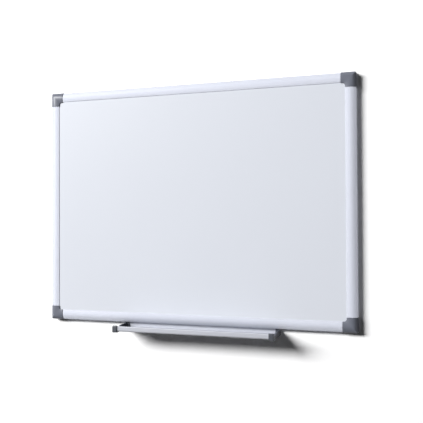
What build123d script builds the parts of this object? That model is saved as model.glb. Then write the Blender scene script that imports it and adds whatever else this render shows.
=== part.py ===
from build123d import *
import os

# Magnetic whiteboard with a sliding pen tray, in millimetres.
# X runs to the right, Y from the front to the wall, Z up. The wall plane is y = 0,
# and the origin is in the middle of the four wall-screw holes.
# Sections are drawn across from the outer edge (first) and forward from the wall (second).

# Board
board_width = 600.0
board_height = 450.0

# Frame extrusion
face_width = 18.0
frame_depth = 16.0
frame_wall = 1.2
crown_apex = 10.6
outer_crown_radius = 13.4
inner_crown_radius = 24.0
outer_edge_radius = 2.0
inner_edge_radius = 0.7
chamber_width = 7.6
groove_depth = 3.8
groove_mouth = 2.1
back_lip_width = 16.0
lip_foot_width = 1.4
back_lip_lift = 3.0

# Writing panel
sheet_thickness = 0.4
core_thickness = 9.2
backing_thickness = 0.2
panel_clearance = 0.4

# Corner cover
corner_leg = 26.0
corner_radius = 3.5
notch_radius = 5.0
cover_proud = 0.8
cover_wall = 2.0
cover_gap = 0.3
cover_edge_radius = 0.8
tab_width = 4.0
tab_thickness = 2.4
tab_tip = 6.0
tab_along = 18.5
tab_across = 5.2

# Corner key
key_clearance = 0.2
key_plate = 3.0
key_rib = 1.2
key_rib_height = 9.5
boss_reach = 3.6
boss_height = 7.0
wall_hole_radius = 2.25
wall_hole_inset = 6.5
socket_clearance = 0.2
socket_wall = 1.2
socket_height = 10.8
key_root = 3.5
key_root_height = 10.5
tongue_length = 24.0
tongue_lead = 0.4
barb_height = 0.15
barb_length = 1.6
barb_shares = (0.3, 0.5, 0.7)

# Pen tray extrusion
tray_length = 300.0
tray_depth = 58.5
tray_wall = 1.3
tray_lip_height = 10.0
tray_drop = 11.2
tray_bead_radius = 1.5
tray_floor_radius = 3.0
tray_rib_height = 0.6
tray_rib_width = 1.6
tray_rib_shares = (0.38, 0.66)
tray_side_play = 0.4
hook_rise = 1.5
hook_reach = 3.3
tray_shift = 10.0

# Tray end cap
cap_skirt = 1.9
cap_sleeve = 6.0
cap_plate = 2.8
cap_post_rise = 0.8
cap_post_depth = 6.0
cap_valley_drop = 5.2
cap_hump_rise = 2.4
cap_hump_start = 36.0
cap_hump_top = 20.0
cap_slope_share = 0.8
cap_neck_depth = 7.0
cap_top_gap = 0.3
cap_post_radius = 2.2
cap_toe_radius = 2.6
cap_edge_bevel = 0.7

# Common
overrun = 5.0

# Sizes that follow
panel_back = back_lip_lift + frame_wall
core_back = panel_back + backing_thickness
sheet_back = core_back + core_thickness
panel_front = sheet_back + sheet_thickness
web_start = frame_wall + chamber_width
web_end = web_start + frame_wall
chamber_back = frame_wall + groove_depth + frame_wall
cover_hollow = cover_wall - cover_proud
cover_inset = cover_hollow + cover_gap
key_inner = web_start - key_clearance
tray_foot = -board_height / 2 - tray_drop


def block(x_min, x_max, y_min, y_max):
    """Flat rectangle between four sides."""
    size = Rectangle(x_max - x_min, y_max - y_min, align=(Align.MIN, Align.MIN))
    return Pos(x_min, y_min) * size


def rounded(sketch, x, y, radius):
    """Sketch with its corner nearest to a point rounded."""
    corner = sketch.vertices().sort_by_distance((x, y, 0))[0]
    return fillet(corner, radius)


def crown_outline(inset=0.0, reach=0.0, back=0.0, rounding=0.0):
    """Frame outline seen from its end: square behind, a long roll outside and a short slope inside."""
    front = frame_depth - inset
    outer_roll = Pos(crown_apex, frame_depth - outer_crown_radius) * Circle(outer_crown_radius - inset)
    inner_slope = Pos(crown_apex, frame_depth - inner_crown_radius) * Circle(inner_crown_radius - inset)
    outline = block(inset, crown_apex, back, front) & outer_roll
    outline += block(crown_apex, face_width + reach, back, front) & inner_slope
    if rounding > max(inset, 0.0):
        outline = rounded(outline, inset, frame_depth, rounding - inset)
    return outline


def member_section():
    """Frame extrusion: tongue chamber, panel slot, hollow lip with a foot, and undercut groove."""
    outline = crown_outline(rounding=outer_edge_radius)
    solid = rounded(outline, face_width, frame_depth, inner_edge_radius)
    under_crown = crown_outline(inset=frame_wall, rounding=outer_edge_radius)
    chamber = under_crown & block(frame_wall, web_start, chamber_back, frame_depth)
    groove = block(frame_wall, web_start, frame_wall, frame_wall + groove_depth)
    mouth = block(-overrun, frame_wall, frame_wall, frame_wall + groove_mouth)
    slot = block(web_end, face_width + overrun, panel_back, panel_front)
    lip_hollow = under_crown & block(web_end, face_width - lip_foot_width, panel_front, frame_depth)
    behind_panel = block(back_lip_width, face_width + overrun, -overrun, panel_back)
    behind_panel += block(web_end, face_width, -overrun, back_lip_lift)
    return solid - chamber - groove - mouth - slot - lip_hollow - behind_panel


def chamber_section():
    """Inside of the tongue chamber, less the tongue's clearance on every side."""
    under_crown = crown_outline(inset=frame_wall + key_clearance, rounding=outer_edge_radius)
    low = chamber_back + key_clearance
    return under_crown & block(frame_wall + key_clearance, key_inner, low, frame_depth)


def along_x(section, start, length):
    """Prism of an (across, forward) section along X, outer edge down and wall side at y = 0."""
    return Plane(origin=(start, 0, 0), x_dir=(0, 0, 1), z_dir=(1, 0, 0)) * extrude(section, length)


def forward(plan, start, end):
    """Prism of an (x, z) plan between two distances from the wall."""
    return Plane(origin=(0, -start, 0), x_dir=(1, 0, 0), z_dir=(0, -1, 0)) * extrude(plan, end - start)


def peg(x, z, radius, start, end):
    """Round bar that points away from the wall."""
    return forward(Pos(x, z) * Circle(radius), start, end)


def tab(margin, start, end):
    """Flat tab of a cover that points away from the wall, or the room round it."""
    size = Rectangle(tab_width + 2 * margin, tab_thickness + 2 * margin)
    return forward(Pos(tab_along, tab_across) * size, start, end)


def both_arms(shape):
    """An arm along X with its mirror image along Z."""
    return shape + mirror(shape, about=Plane(origin=(0, 0, 0), z_dir=(1, 0, -1)))


def frame_member(length):
    """One length of the extrusion along X, with its outer edge at z = 0."""
    return along_x(member_section(), -length / 2, length)


def around(shape, distance, angle):
    """A bottom member moved out from the centre, then turned to its side of the frame."""
    return Rot(0, angle, 0) * Pos(0, 0, -distance) * shape


def at_corner(shape, right, top):
    """A piece drawn at the bottom left corner, put at one of the four corners."""
    x = board_width / 2 * (1 if right else -1)
    z = board_height / 2 * (1 if top else -1)
    angle = (180 if right else 90) if top else (270 if right else 0)
    return Pos(x, 0, z) * Rot(0, angle, 0) * shape


def panel_layer(back, thickness):
    """One layer of the writing panel, held in the members' slots."""
    margin = 2 * (web_end + panel_clearance)
    plan = Rectangle(board_width - margin, board_height - margin)
    return forward(plan, back, back + thickness)


def corner_plan(leg, width, notch, inset=0.0):
    """Plan of a corner piece: two arms with a hollow-rounded inner corner."""
    points = [(inset, inset), (leg, inset), (leg, width), (width, width), (width, leg), (inset, leg)]
    plan = make_face(Polyline(points, close=True).edges())
    return rounded(plan, width, width, notch)


def corner_mass(section, leg, plan, radius):
    """Two arms of a section, mitred on the corner's diagonal, cut to a plan and rounded outside."""
    start = -overrun
    wedge = make_face(Polyline([(start, start), (leg, start), (leg, leg)], close=True).edges())
    mitred = along_x(section, start, leg - start) & forward(wedge, start, frame_depth + overrun)
    mass = both_arms(mitred) & forward(plan, -overrun, frame_depth + overrun)
    uprights = mass.edges().filter_by(Axis.Y)
    return fillet(uprights.sort_by_distance((-overrun, 0, -overrun))[0], radius)


def front_rim(shape, nearest, farthest):
    """Edges of the front whose middle lies between two distances from the outer edge."""
    rim = []
    for edge in shape.edges():
        middle = edge.center()
        if nearest < min(middle.X, middle.Z) < farthest and -middle.Y > frame_depth / 2:
            rim.append(edge)
    return rim


def corner_cover():
    """Hollow mitred moulding that hides the key, with two tabs that push into its sockets."""
    leg = corner_leg - cover_gap
    plan = corner_plan(leg, face_width + cover_proud, notch_radius, inset=-cover_proud)
    section = crown_outline(inset=-cover_proud, reach=notch_radius / 2, back=cover_gap)
    outside = corner_mass(section, leg, plan, corner_radius)
    outside = fillet(front_rim(outside, -overrun, cover_edge_radius), outer_edge_radius)
    outside = fillet(front_rim(outside, face_width, corner_leg), cover_edge_radius)
    inner_plan = corner_plan(leg + overrun, face_width - cover_hollow, notch_radius + cover_wall,
                             inset=cover_hollow)
    inner_section = crown_outline(inset=cover_hollow, back=-overrun)
    hollow = corner_mass(inner_section, leg + overrun, inner_plan, corner_radius - cover_wall)
    panel_edge = web_end + panel_clearance - cover_gap
    panel_room = block(panel_edge, leg + overrun, panel_edge, leg + overrun)
    shell = outside - hollow - forward(panel_room, -overrun, panel_front + cover_gap)
    tabs = both_arms(tab(0, tab_tip, frame_depth))
    return shell + (tabs & outside)


def barb(start):
    """Wedge on a tongue's inner side that lets it in and holds it there."""
    points = [(start, key_inner), (start + barb_length, key_inner), (start, key_inner + barb_height)]
    wedge = make_face(Polyline(points, close=True).edges())
    return forward(wedge, chamber_back + key_clearance, frame_depth - 2 * frame_wall)


def corner_key():
    """Plastic key: flat foot on the wall, wall-screw boss, two sockets and two barbed tongues."""
    boss_start = wall_hole_inset - boss_reach
    boss_end = wall_hole_inset + boss_reach
    root_start = corner_leg - key_root
    band = block(cover_inset, corner_leg, cover_inset, key_inner)
    arm = forward(band, 0, key_plate)
    ribs = block(boss_end, root_start, key_inner - key_rib, key_inner)
    ribs += block(boss_end, root_start, cover_inset, cover_inset + key_rib)
    arm += forward(ribs, 0, key_rib_height)
    arm += tab(socket_clearance + socket_wall, 0, socket_height)
    root = block(cover_inset, key_inner, 0, key_root_height)
    arm += along_x(root, root_start, key_root)
    tongue = along_x(chamber_section(), corner_leg, tongue_length)
    tip = tongue.faces().sort_by(Axis.X)[-1]
    arm += chamfer(tip.edges(), tongue_lead)
    for share in barb_shares:
        arm += barb(corner_leg + share * tongue_length)
    key = both_arms(arm) + forward(block(boss_start, boss_end, boss_start, boss_end), 0, boss_height)
    rounding = block(0, corner_leg + tongue_length + overrun, 0, corner_leg + tongue_length + overrun)
    rounding = rounded(Pos(cover_inset, cover_inset) * rounding, cover_inset, cover_inset,
                       corner_radius - cover_inset)
    trimmed = forward(rounding, -overrun, frame_depth + overrun)
    tongue_room = block(0, web_start, 0, frame_depth)
    key &= trimmed + both_arms(along_x(tongue_room, corner_leg, tongue_length))
    sockets = both_arms(tab(socket_clearance, tab_tip - cover_gap, frame_depth))
    wall_hole = peg(wall_hole_inset, wall_hole_inset, wall_hole_radius, -overrun, frame_depth)
    return key - sockets - wall_hole


def tray_section():
    """Tray extrusion, as (distance from the wall, height): hooked back wall, floor and beaded lip."""
    back = frame_wall + tray_side_play
    hook_low = -board_height / 2 + hook_rise
    back_wall = block(back, back + tray_wall, tray_foot, hook_low + tray_wall)
    hook = block(back, back + hook_reach, hook_low, hook_low + tray_wall)
    floor = block(back, tray_depth, tray_foot, tray_foot + tray_wall)
    bead_height = tray_foot + tray_lip_height - tray_bead_radius
    lip = block(tray_depth - tray_wall, tray_depth, tray_foot, bead_height)
    section = back_wall + hook + floor + lip
    section = rounded(section, tray_depth, tray_foot, tray_floor_radius)
    section = rounded(section, tray_depth - tray_wall, tray_foot + tray_wall, tray_floor_radius - tray_wall)
    section += Pos(tray_depth - tray_bead_radius, bead_height) * Circle(tray_bead_radius)
    for share in tray_rib_shares:
        rib_at = share * tray_depth
        rib_low = tray_foot + tray_wall - tray_rib_height
        rib = block(rib_at, rib_at + tray_rib_width, rib_low, rib_low + 2 * tray_rib_height)
        section += rib
    return section


def cap_outline():
    """End cap seen from the side: front post, low valley, hump and the neck up to the frame."""
    low = tray_foot - cap_skirt
    post_top = tray_foot + tray_lip_height + cap_post_rise
    valley = post_top - cap_valley_drop
    hump = valley + cap_hump_rise
    front = tray_depth + cap_skirt
    post_back = front - cap_post_depth
    neck_top = -board_height / 2 - cap_top_gap
    middle = (cap_hump_start + cap_hump_top) / 2
    slope = ThreePointArc((cap_hump_start, valley), (middle, valley + cap_hump_rise * cap_slope_share),
                          (cap_hump_top, hump))
    lines = Polyline([(cap_hump_top, hump), (cap_neck_depth, hump), (cap_neck_depth, neck_top),
                      (cover_gap, neck_top), (cover_gap, low), (front, low), (front, post_top),
                      (post_back, post_top), (post_back, valley), (cap_hump_start, valley)])
    outline = make_face(slope.edges() + lines.edges())
    outline = rounded(outline, front, post_top, cap_post_radius)
    outline = rounded(outline, post_back, post_top, cap_post_radius)
    return rounded(outline, front, low, cap_toe_radius)


def along_tray(section, start, length):
    """Prism of a (distance from the wall, height) section, from start towards -X."""
    return Plane(origin=(start, 0, 0), x_dir=(0, -1, 0), z_dir=(-1, 0, 0)) * extrude(section, length)


def tray_end():
    """Right end cap: a plate over the tray's end, and a sleeve pushed over its edges."""
    sleeve_end = tray_length / 2 - cap_sleeve
    outer_end = tray_length / 2 + cap_plate
    cap = along_tray(cap_outline(), outer_end, cap_plate + cap_sleeve)
    rim = cap.faces().sort_by(Axis.X)[-1]
    cap = chamfer(rim.edges(), cap_edge_bevel)
    floor = tray_foot + tray_wall + cap_skirt
    back = frame_wall + tray_side_play + tray_wall + cap_skirt
    front = tray_depth + cap_skirt - cap_post_depth
    pocket = block(back, front, floor, 0)
    cap -= along_tray(pocket, tray_length / 2, cap_sleeve + overrun)
    cap -= along_tray(tray_section(), tray_length / 2, cap_sleeve + overrun)
    return cap


def build():
    """Every node of the whiteboard by name."""
    nodes = {
        "writing_sheet": panel_layer(sheet_back, sheet_thickness),
        "panel_core": panel_layer(core_back, core_thickness),
        "back_sheet": panel_layer(panel_back, backing_thickness),
    }
    wide = frame_member(board_width - 2 * corner_leg)
    high = frame_member(board_height - 2 * corner_leg)
    nodes["frame_bottom"] = around(wide, board_height / 2, 0)
    nodes["frame_left"] = around(high, board_width / 2, 90)
    nodes["frame_top"] = around(wide, board_height / 2, 180)
    nodes["frame_right"] = around(high, board_width / 2, 270)
    key = corner_key()
    cover = corner_cover()
    for top in (True, False):
        for right in (False, True):
            corner = ("top" if top else "bottom") + ("_right" if right else "_left")
            nodes["corner_key_" + corner] = at_corner(key, right, top)
            nodes["corner_cover_" + corner] = at_corner(cover, right, top)
    cap = tray_end()
    rest = Pos(tray_shift, 0, 0)
    nodes["tray_profile"] = rest * along_tray(tray_section(), tray_length / 2, tray_length)
    nodes["tray_end_right"] = rest * cap
    nodes["tray_end_left"] = rest * mirror(cap, about=Plane.YZ)
    return nodes


os.makedirs("parts", exist_ok=True)
for name, shape in build().items():
    export_step(shape, os.path.join("parts", name + ".step"))
    print(name, len(shape.solids()), "solid(s)")
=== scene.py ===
import bpy
import math
from mathutils import Matrix, Vector


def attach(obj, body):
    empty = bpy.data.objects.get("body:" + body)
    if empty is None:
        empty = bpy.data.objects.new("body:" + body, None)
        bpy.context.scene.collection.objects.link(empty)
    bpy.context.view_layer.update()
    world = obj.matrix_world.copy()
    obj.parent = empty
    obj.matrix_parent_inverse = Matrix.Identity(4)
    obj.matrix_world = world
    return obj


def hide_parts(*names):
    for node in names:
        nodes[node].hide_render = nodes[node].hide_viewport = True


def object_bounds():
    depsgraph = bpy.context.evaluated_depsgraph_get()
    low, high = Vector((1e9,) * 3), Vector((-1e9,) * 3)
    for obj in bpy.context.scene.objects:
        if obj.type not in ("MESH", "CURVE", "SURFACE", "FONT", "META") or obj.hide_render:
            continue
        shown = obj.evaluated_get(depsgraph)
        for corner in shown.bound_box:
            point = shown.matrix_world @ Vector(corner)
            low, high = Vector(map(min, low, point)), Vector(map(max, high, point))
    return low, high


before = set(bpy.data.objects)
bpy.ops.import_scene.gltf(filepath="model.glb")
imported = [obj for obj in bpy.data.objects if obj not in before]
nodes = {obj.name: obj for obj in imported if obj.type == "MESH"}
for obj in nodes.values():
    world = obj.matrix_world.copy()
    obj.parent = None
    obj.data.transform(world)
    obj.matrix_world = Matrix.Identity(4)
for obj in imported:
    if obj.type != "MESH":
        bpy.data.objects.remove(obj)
cadBox = [list(corner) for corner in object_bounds()]
print("frame loaded:", len(nodes), "nodes")


# camera

viewPoint = {
    "place": (0.4050, -1.1406, -0.0332),  # metres
    "turnLeft": 18.073,  # degrees from +Y
    "tiltUp": 0.917,
    "roll": -0.26,
    "focal": 642.9,  # in pixels of the picture
    "picture": 423,
    "sensor": 36.0,  # millimetres
    "nearest": 0.01,
}


def addCamera(spec):
    bpy.ops.object.camera_add()
    camera = bpy.context.object
    camera.name = "camera"
    camera.data.sensor_width = spec["sensor"]
    camera.data.lens = spec["focal"] / spec["picture"] * spec["sensor"]
    camera.data.clip_start = spec["nearest"]
    turn = Matrix.Rotation(math.radians(spec["turnLeft"]), 4, "Z")
    tilt = Matrix.Rotation(math.radians(90 + spec["tiltUp"]), 4, "X")  # unturned, it looks down
    roll = Matrix.Rotation(math.radians(spec["roll"]), 4, "Z")
    camera.matrix_world = Matrix.Translation(spec["place"]) @ turn @ tilt @ roll
    bpy.context.scene.camera = camera


addCamera(viewPoint)
print("camera set")


# material building blocks

patternRange = (0.2, 0.8)  # where nearly all of a noise pattern lies


def newMaterial(name):
    material = bpy.data.materials.new(name)
    material.use_nodes = True
    tree = material.node_tree
    return material, tree, tree.nodes["Principled BSDF"]


def addNode(tree, kind, **settings):
    node = tree.nodes.new(kind)
    for key, value in settings.items():
        setattr(node, key, value)
    return node


def stretched(tree, scale=(1, 1, 1)):  # object coordinates, scaled along each axis
    place = addNode(tree, "ShaderNodeTexCoord")
    mapping = addNode(tree, "ShaderNodeMapping")
    mapping.inputs["Scale"].default_value = scale
    tree.links.new(place.outputs["Object"], mapping.inputs["Vector"])
    return mapping.outputs["Vector"]


def noise(tree, vector, scale=1.0, detail=3.0, roughness=0.5):
    node = addNode(tree, "ShaderNodeTexNoise")
    node.inputs["Scale"].default_value = scale
    node.inputs["Detail"].default_value = detail
    node.inputs["Roughness"].default_value = roughness
    tree.links.new(vector, node.inputs["Vector"])
    return node.outputs["Fac"]


def spread(tree, value, wanted, given=patternRange):  # a pattern brought to the wanted range
    node = addNode(tree, "ShaderNodeMapRange")
    node.inputs["From Min"].default_value, node.inputs["From Max"].default_value = given
    node.inputs["To Min"].default_value, node.inputs["To Max"].default_value = wanted
    tree.links.new(value, node.inputs["Value"])
    return node.outputs["Result"]


def tint(tree, value, dark, light):
    node = addNode(tree, "ShaderNodeValToRGB")
    for stop, position, colour in zip(node.color_ramp.elements, patternRange, (dark, light)):
        stop.position = position
        stop.color = (*colour, 1)
    tree.links.new(value, node.inputs["Fac"])
    return node.outputs["Color"]


def relief(tree, shader, height, strength, depth):
    node = addNode(tree, "ShaderNodeBump")
    node.inputs["Strength"].default_value = strength
    node.inputs["Distance"].default_value = depth
    tree.links.new(height, node.inputs["Height"])
    tree.links.new(node.outputs["Normal"], shader.inputs["Normal"])


def shaded(colour, share):
    return tuple(channel * share for channel in colour)


# writing lacquer: faint clouds and a fine sprayed skin

lacquer = {
    "colour": (0.775, 0.805, 0.875),
    "unevenness": 0.99,
    "roughness": (0.40, 0.44),
    "gloss": 0.25,
    "cloudScale": 7.0,
    "peelScale": 420.0,
    "peelDetail": 1,
    "peelStrength": 0.12,
    "peelDepth": 0.00002,
}


def makeLacquer(spec):
    material, tree, shader = newMaterial("writing_lacquer")
    flat = stretched(tree)
    cloud = noise(tree, flat, spec["cloudScale"])
    shade = tint(tree, cloud, shaded(spec["colour"], spec["unevenness"]), spec["colour"])
    tree.links.new(shade, shader.inputs["Base Color"])
    tree.links.new(spread(tree, cloud, spec["roughness"]), shader.inputs["Roughness"])
    shader.inputs["Specular IOR Level"].default_value = spec["gloss"]
    peel = noise(tree, flat, spec["peelScale"], detail=spec["peelDetail"])
    relief(tree, shader, peel, spec["peelStrength"], spec["peelDepth"])
    return material


# anodised aluminium, drawn along one axis

aluminium = {
    "frame": {"colour": (0.565, 0.58, 0.632), "metallic": 1.0, "roughness": (0.80, 0.90)},
    "tray": {"colour": (0.53, 0.545, 0.60), "metallic": 0.20, "roughness": (0.46, 0.56)},
    "unevenness": 0.96,
    "alongScale": 3.0,
    "acrossScale": 900.0,
    "lineDetail": 4,
    "lineBreakup": 0.6,
    "lineStrength": 0.25,
    "lineDepth": 0.00001,
}


def makeAluminium(name, own, axis, spec):
    material, tree, shader = newMaterial(name)
    scale = [spec["acrossScale"]] * 3
    scale["XYZ".index(axis)] = spec["alongScale"]
    drawn = stretched(tree, scale)
    lines = noise(tree, drawn, detail=spec["lineDetail"], roughness=spec["lineBreakup"])
    shade = tint(tree, lines, shaded(own["colour"], spec["unevenness"]), own["colour"])
    tree.links.new(shade, shader.inputs["Base Color"])
    tree.links.new(spread(tree, lines, own["roughness"]), shader.inputs["Roughness"])
    shader.inputs["Metallic"].default_value = own["metallic"]
    relief(tree, shader, lines, spec["lineStrength"], spec["lineDepth"])
    return material


# moulded plastic with a fine spark grain

plastics = {
    "cover_plastic": {"colour": (0.170, 0.182, 0.224), "roughness": (0.34, 0.40), "gloss": 0.34},
    "tray_end_plastic": {"colour": (0.075, 0.082, 0.100), "roughness": (0.30, 0.38), "gloss": 0.5},
    "key_plastic": {"colour": (0.030, 0.031, 0.034), "roughness": (0.45, 0.60), "gloss": 0.5},
    "unevenness": 0.94,
    "flowScale": 60.0,
    "grainScale": 2600.0,
    "grainDetail": 2,
    "grainStrength": 0.35,
    "grainDepth": 0.00003,
}


def makePlastic(name, spec):
    material, tree, shader = newMaterial(name)
    own = spec[name]
    flat = stretched(tree)
    grain = noise(tree, flat, spec["grainScale"], detail=spec["grainDetail"])
    flow = noise(tree, flat, spec["flowScale"])
    shade = tint(tree, flow, shaded(own["colour"], spec["unevenness"]), own["colour"])
    tree.links.new(shade, shader.inputs["Base Color"])
    tree.links.new(spread(tree, grain, own["roughness"]), shader.inputs["Roughness"])
    shader.inputs["Specular IOR Level"].default_value = own["gloss"]
    relief(tree, shader, grain, spec["grainStrength"], spec["grainDepth"])
    return material


# board core: pressed fibres

core = {
    "dark": (0.30, 0.22, 0.13),
    "light": (0.48, 0.38, 0.25),
    "roughness": 0.9,
    "fibreScale": 350.0,
    "lengthScale": 60.0,
    "fibreDetail": 5,
    "fibreBreakup": 0.65,
    "fibreStrength": 0.5,
    "fibreDepth": 0.0001,
}


def makeCore(spec):
    material, tree, shader = newMaterial("core_board")
    fibres = stretched(tree, (spec["lengthScale"], spec["fibreScale"], spec["fibreScale"]))
    strands = noise(tree, fibres, detail=spec["fibreDetail"], roughness=spec["fibreBreakup"])
    tree.links.new(tint(tree, strands, spec["dark"], spec["light"]), shader.inputs["Base Color"])
    shader.inputs["Roughness"].default_value = spec["roughness"]
    relief(tree, shader, strands, spec["fibreStrength"], spec["fibreDepth"])
    return material


# zinc-coated backing with its crystal flowers

zinc = {
    "dark": (0.53, 0.55, 0.57),
    "light": (0.62, 0.64, 0.66),
    "metallic": 0.9,
    "roughness": (0.54, 0.66),
    "flowerScale": 110.0,
}


def makeZinc(spec):
    material, tree, shader = newMaterial("zinc_backing")
    flowers = addNode(tree, "ShaderNodeTexVoronoi")
    flowers.inputs["Scale"].default_value = spec["flowerScale"]
    tree.links.new(stretched(tree), flowers.inputs["Vector"])
    split = addNode(tree, "ShaderNodeSeparateColor")
    tree.links.new(flowers.outputs["Color"], split.inputs["Color"])
    flower = split.outputs["Red"]  # one even random value from 0 to 1 for each flower
    tree.links.new(tint(tree, flower, spec["dark"], spec["light"]), shader.inputs["Base Color"])
    tree.links.new(spread(tree, flower, spec["roughness"], given=(0, 1)),
                   shader.inputs["Roughness"])
    shader.inputs["Metallic"].default_value = spec["metallic"]
    return material


frameAcross = makeAluminium("frame_aluminium_across", aluminium["frame"], "X", aluminium)
frameUp = makeAluminium("frame_aluminium_up", aluminium["frame"], "Z", aluminium)
trayMetal = makeAluminium("tray_aluminium", aluminium["tray"], "X", aluminium)
coverPlastic = makePlastic("cover_plastic", plastics)
trayEndPlastic = makePlastic("tray_end_plastic", plastics)
keyPlastic = makePlastic("key_plastic", plastics)
print("materials made")


# the flat layers and the keys keep their solids and get their finish

def paint(piece, material):
    piece.data.materials.clear()
    piece.data.materials.append(material)


paint(nodes["writing_sheet"], makeLacquer(lacquer))
paint(nodes["panel_core"], makeCore(core))
paint(nodes["back_sheet"], makeZinc(zinc))
for name in nodes:
    if name.startswith("corner_key"):
        paint(nodes[name], keyPlastic)
print("panel and keys finished")


# extruded and moulded pieces: the solid's own shape with eased edges

def easedPiece(nodeName, pieceName, body, material, edge):
    bpy.ops.object.select_all(action="DESELECT")
    piece = nodes[nodeName].copy()
    piece.data = nodes[nodeName].data.copy()
    for key in list(piece.keys()):  # the copy keeps none of the node's own marks
        del piece[key]
    piece.parent = None
    piece.name = pieceName
    bpy.context.scene.collection.objects.link(piece)
    piece.select_set(True)
    bpy.context.view_layer.objects.active = piece
    bpy.ops.object.mode_set(mode="EDIT")
    bpy.ops.mesh.select_all(action="SELECT")
    bpy.ops.mesh.remove_doubles(threshold=edge["merge"])
    bpy.ops.mesh.dissolve_limited(angle_limit=math.radians(edge["flat"]))
    bpy.ops.object.mode_set(mode="OBJECT")
    bevel = piece.modifiers.new("eased", "BEVEL")
    bevel.width = edge["width"]
    bevel.segments = edge["segments"]
    bevel.limit_method = "ANGLE"
    bevel.angle_limit = math.radians(edge["sharp"])
    bevel.use_clamp_overlap = False
    bpy.ops.object.modifier_apply(modifier=bevel.name)
    bpy.ops.object.shade_smooth_by_angle(angle=math.radians(edge["smooth"]))
    even = piece.modifiers.new("even", "WEIGHTED_NORMAL")
    even.keep_sharp = True
    bpy.ops.object.modifier_apply(modifier=even.name)
    paint(piece, material)
    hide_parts(nodeName)
    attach(piece, body)


# lengths in metres, angles in degrees
rails = {"merge": 1e-6, "flat": 0.5, "width": 0.0002, "segments": 2, "sharp": 40, "smooth": 38}
covers = {"merge": 1e-6, "flat": 0.2, "width": 0.0001, "segments": 2, "sharp": 30, "smooth": 22}
tray = {"merge": 1e-6, "flat": 0.5, "width": 0.00015, "segments": 2, "sharp": 50, "smooth": 38}

for side in ("top", "bottom"):
    easedPiece("frame_" + side, side + "_rail", "base", frameAcross, rails)
for side in ("left", "right"):
    easedPiece("frame_" + side, side + "_rail", "base", frameUp, rails)
for corner in ("top_left", "top_right", "bottom_left", "bottom_right"):
    easedPiece("corner_cover_" + corner, corner + "_cover", "cover_" + corner,
               coverPlastic, covers)
easedPiece("tray_profile", "pen_tray", "tray", trayMetal, tray)
for side in ("left", "right"):
    easedPiece("tray_end_" + side, "pen_tray_cap_" + side, "tray",
               trayEndPlastic, tray)
print("rails, covers and tray finished")


# studio: a white wall behind the board, a pale floor, soft lamps

studio = {
    "size": 7.0,
    "wallGap": 0.0004,  # behind the board's back
    "openingInset": 0.003,  # inside the board's edge, all round
    "wallColour": (0.15, 0.15, 0.1505),
    "wallSeen": 8.15,  # times as pale when seen
    "floorHeight": -0.80,
    "floorColour": (0.03, 0.03, 0.03),
    "floorSeen": 28.0,
    "skyLight": 0.041,
}


def addWall(spec):  # with an opening behind the board, which shows its back
    right, _, top = cadBox[1]
    bpy.ops.object.select_all(action="DESELECT")
    bpy.ops.mesh.primitive_plane_add(size=spec["size"], location=(0, spec["wallGap"], 0),
                                     rotation=(math.radians(90), 0, 0))
    wall = bpy.context.object
    wall.name = "wall"
    bpy.ops.object.transform_apply(location=True, rotation=True, scale=True)
    bpy.ops.object.mode_set(mode="EDIT")
    bpy.ops.mesh.select_all(action="SELECT")
    bpy.ops.mesh.inset(thickness=spec["size"] / 2 - top)
    wide, high = [(side - spec["openingInset"]) / top for side in (right, top)]
    bpy.ops.transform.resize(value=(wide, 1, high))
    bpy.ops.mesh.delete(type="FACE")
    bpy.ops.object.mode_set(mode="OBJECT")
    wall.visible_shadow = False  # the rear lamp reaches the back of the tray
    return wall


def addFloor(spec):
    bpy.ops.object.select_all(action="DESELECT")
    bpy.ops.mesh.primitive_plane_add(size=spec["size"], location=(0, 0, spec["floorHeight"]))
    floor = bpy.context.object
    floor.name = "floor"
    return floor


# 1 for what the camera sees, also by reflection or through a clear piece
def seenDirectly(tree):
    path = addNode(tree, "ShaderNodeLightPath")
    seen = path.outputs["Is Camera Ray"]
    for ray in ("Is Glossy Ray", "Is Transmission Ray"):
        either = addNode(tree, "ShaderNodeMath", operation="MAXIMUM")
        tree.links.new(seen, either.inputs[0])
        tree.links.new(path.outputs[ray], either.inputs[1])
        seen = either.outputs["Value"]
    return seen


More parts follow.
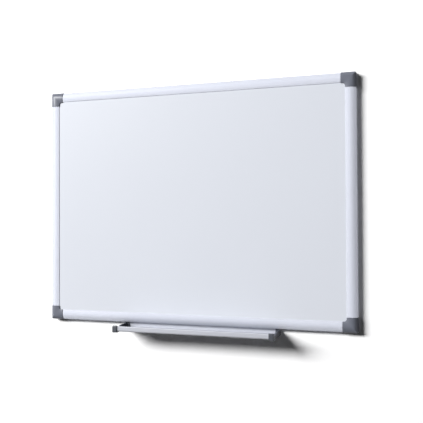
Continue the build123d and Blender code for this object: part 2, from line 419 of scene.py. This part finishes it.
# pale when seen, darker to bounced light; a one-sided paint is clear from behind
def makeBackdropPaint(name, colour, seen, oneSided=False):
    material, tree, shader = newMaterial(name)
    tree.nodes.remove(shader)
    matt = addNode(tree, "ShaderNodeBsdfDiffuse")
    mix = addNode(tree, "ShaderNodeMix", data_type="RGBA")
    mix.inputs["A"].default_value = (*colour, 1)
    mix.inputs["B"].default_value = (*shaded(colour, seen), 1)
    tree.links.new(seenDirectly(tree), mix.inputs["Factor"])
    tree.links.new(mix.outputs["Result"], matt.inputs["Color"])
    finish = matt.outputs["BSDF"]
    if oneSided:
        side = addNode(tree, "ShaderNodeNewGeometry")
        clear = addNode(tree, "ShaderNodeBsdfTransparent")
        both = addNode(tree, "ShaderNodeMixShader")
        tree.links.new(side.outputs["Backfacing"], both.inputs["Fac"])
        tree.links.new(finish, both.inputs[1])
        tree.links.new(clear.outputs["BSDF"], both.inputs[2])
        finish = both.outputs["Shader"]
    tree.links.new(finish, tree.nodes["Material Output"].inputs["Surface"])
    return material


wallPaint = makeBackdropPaint("wall_paint", studio["wallColour"], studio["wallSeen"],
                              oneSided=True)
floorPaint = makeBackdropPaint("floor_paint", studio["floorColour"], studio["floorSeen"])
paint(addWall(studio), wallPaint)
paint(addFloor(studio), floorPaint)


lamps = {
    "window": {
        "place": (-8.85, -7.50, 4.47),
        "aim": (-8.85, 0, 4.47),
        "size": (9.8, 3.9),
        "power": 3270.0,
    },
    "rearFill": {
        "place": (0, 2.2, 1.9),
        "aim": (0, 0, 0),
        "size": (0.5, 1.6),
        "power": 44.0,
    },
}


def addLamp(name, spec):
    aim = Vector(spec["aim"]) - Vector(spec["place"])
    bpy.ops.object.light_add(type="AREA", location=spec["place"],
                             rotation=aim.to_track_quat("-Z", "Y").to_euler())
    lamp = bpy.context.object
    lamp.name = name
    lamp.data.shape = "ELLIPSE"
    lamp.data.size, lamp.data.size_y = spec["size"]
    lamp.data.energy = spec["power"]


for name, spec in lamps.items():
    addLamp(name, spec)


def makeSky(strength):  # white when seen, faint as light
    world = bpy.data.worlds.new("studio")
    bpy.context.scene.world = world
    world.use_nodes = True
    tree = world.node_tree
    background = tree.nodes["Background"]
    background.inputs["Color"].default_value = (1, 1, 1, 1)
    level = addNode(tree, "ShaderNodeMapRange")
    level.inputs["To Min"].default_value = strength
    tree.links.new(seenDirectly(tree), level.inputs["Value"])
    tree.links.new(level.outputs["Result"], background.inputs["Strength"])


makeSky(studio["skyLight"])
bpy.context.scene.view_settings.view_transform = "Standard"
print("studio lit")
